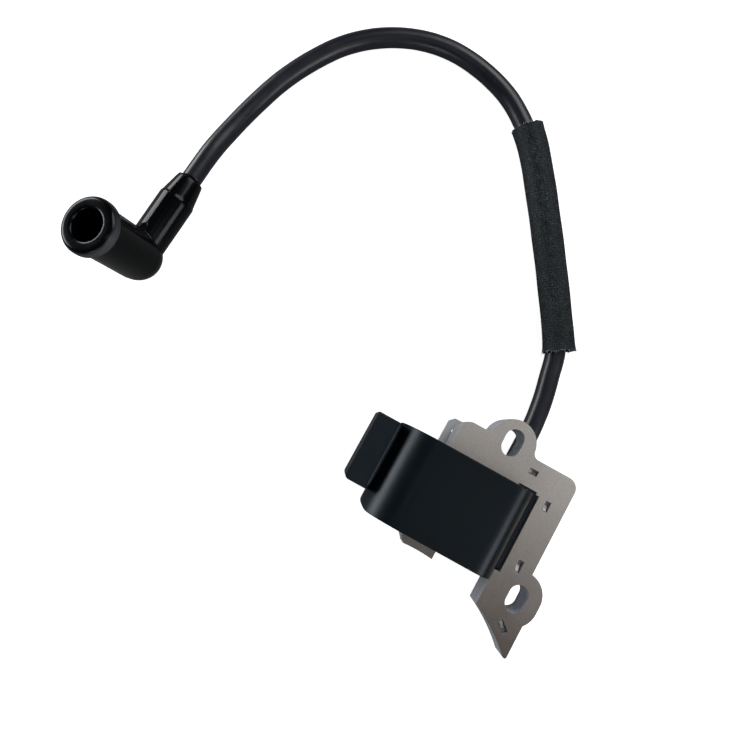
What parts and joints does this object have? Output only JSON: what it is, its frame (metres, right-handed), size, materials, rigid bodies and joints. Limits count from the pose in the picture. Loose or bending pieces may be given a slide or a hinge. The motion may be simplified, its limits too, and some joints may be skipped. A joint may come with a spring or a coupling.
{
  "type": "flywheel ignition coil",
  "caption": "Flywheel ignition coil with a laminated core, potted coil housing, stop blade, spark lead with sleeve and a swivelling elbow plug boot.",
  "frame": {"origin": "middle of the coil assembly's footprint, without the free lead, at the housing's back face", "axes": "+Z out of the housing's back through the core's sheets, +Y away from the flywheel along the coil leg, +X from the housing towards the core's spine"},
  "size_m": [0.1613, 0.1531, 0.0329],
  "materials": {
    "core_steel": "stamped sheet edges",
    "sheet_steel": "stamped silicon steel, faint rolling lines",
    "housing_plastic": "black moulded plastic, satin",
    "resin": "poured resin, glossy",
    "bobbin_plastic": "natural moulded nylon",
    "copper_wire": "enamelled copper wire",
    "fine_wire": "fine enamelled copper wire",
    "board": "green circuit board",
    "component_black": "black moulded epoxy",
    "capacitor_coat": "dipped coating",
    "resistor_coat": "lacquered ceramic",
    "tinned_steel": "tin-plated steel",
    "brass": "plain brass",
    "lead_jacket": "satin black insulation",
    "woven_sleeve": "coated woven glass sleeve",
    "boot_rubber": "glossy black moulded rubber",
    "spring_steel": "bright spring wire"
  },
  "bodies": {
    "coil": {"core_stack": "core_steel", "front_lamination": "sheet_steel", "back_lamination": "sheet_steel", "housing_shell": "housing_plastic", "end_block": "housing_plastic", "potting_resin": "resin", "primary_bobbin": "bobbin_plastic", "primary_winding": "copper_wire", "secondary_bobbin": "bobbin_plastic", "secondary_winding": "fine_wire", "circuit_board": "board", "switching_transistor": "component_black", "capacitor": "capacitor_coat", "resistors": "resistor_coat", "diodes": "component_black", "ground_strap": "tinned_steel", "stop_terminal": "tinned_steel", "ht_contact": "brass", "lead_tail": "lead_jacket", "ht_lead": "lead_jacket", "abrasion_sleeve": "woven_sleeve", "lead_nose": "lead_jacket"},
    "boot": {"plug_boot": "boot_rubber", "contact_spring": "spring_steel"}
  },
  "joints": [
    {"name": "boot_swivel", "type": "hinge", "parent": "coil", "child": "boot", "pos_m": [-0.11388, 0.0185, 0.007], "axis": [0.0698, 0.9976, 0], "range_deg": [-75, 75]}
  ]
}
